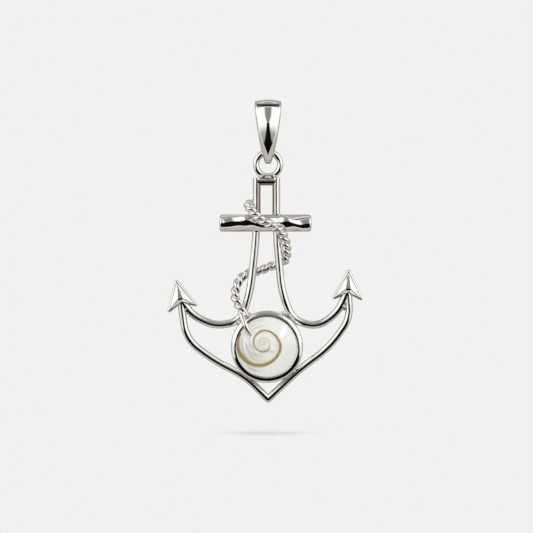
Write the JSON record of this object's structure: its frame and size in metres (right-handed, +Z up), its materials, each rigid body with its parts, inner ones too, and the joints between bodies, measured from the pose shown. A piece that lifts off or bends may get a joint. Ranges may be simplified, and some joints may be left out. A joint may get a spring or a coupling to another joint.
{
  "type": "anchor pendant",
  "caption": "Hanging anchor pendant of bent wire with a cross bar, ridged flukes, a round shell cabochon in a bezel and a twisted wire rope, on a swinging bail.",
  "frame": {"origin": "inside of the bail's crown, where the neck chain bears", "axes": "+Z up along the shank, +X to the right in a front view and along the chain in the bail, the front faces -Y"},
  "size_m": [0.0293, 0.0048, 0.0455],
  "materials": {
    "silver": "mirror polished sterling silver",
    "shell": "polished shell, glossy"
  },
  "bodies": {
    "bail": {"bail": "silver"},
    "anchor": {"anchor_frame": "silver", "rope_strand_1": "silver", "rope_strand_2": "silver", "shell": "shell"}
  },
  "joints": [
    {"name": "ring_swing", "type": "hinge", "parent": "bail", "child": "anchor", "pos_m": [0, 0, -0.00722], "axis": [1, 0, 0], "range_deg": [-130, 130]}
  ]
}
